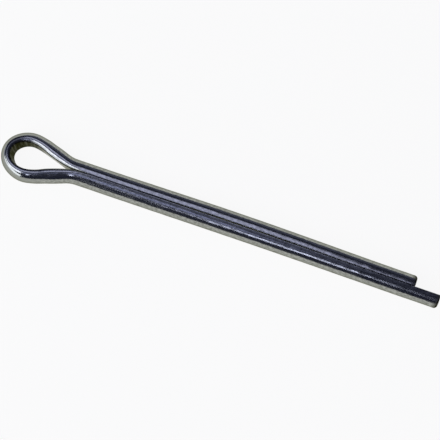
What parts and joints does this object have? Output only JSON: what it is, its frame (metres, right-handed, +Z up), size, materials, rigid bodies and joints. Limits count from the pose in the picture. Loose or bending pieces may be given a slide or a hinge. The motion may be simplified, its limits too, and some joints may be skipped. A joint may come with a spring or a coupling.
{
  "type": "cotter pin",
  "caption": "Straight cotter pin of half-round steel wire, folded into a drop-shaped eye, with two flat-faced legs of unequal length.",
  "frame": {"origin": "on the axis of the round shank, where the straight legs begin below the neck", "axes": "+X along the shank towards the leg tips, the eye on the -X side with its plane in XY, the short leg on the +Y side and the long leg on the -Y side, +Z up from the surface that the pin lies on"},
  "size_m": [0.0645, 0.0072, 0.0036],
  "materials": {
    "zinc_plated_wire": "bright zinc plate with a clear blue passivation over drawn steel wire"
  },
  "bodies": {
    "root": {"cotter_pin": "zinc_plated_wire"}
  },
  "joints": []
}
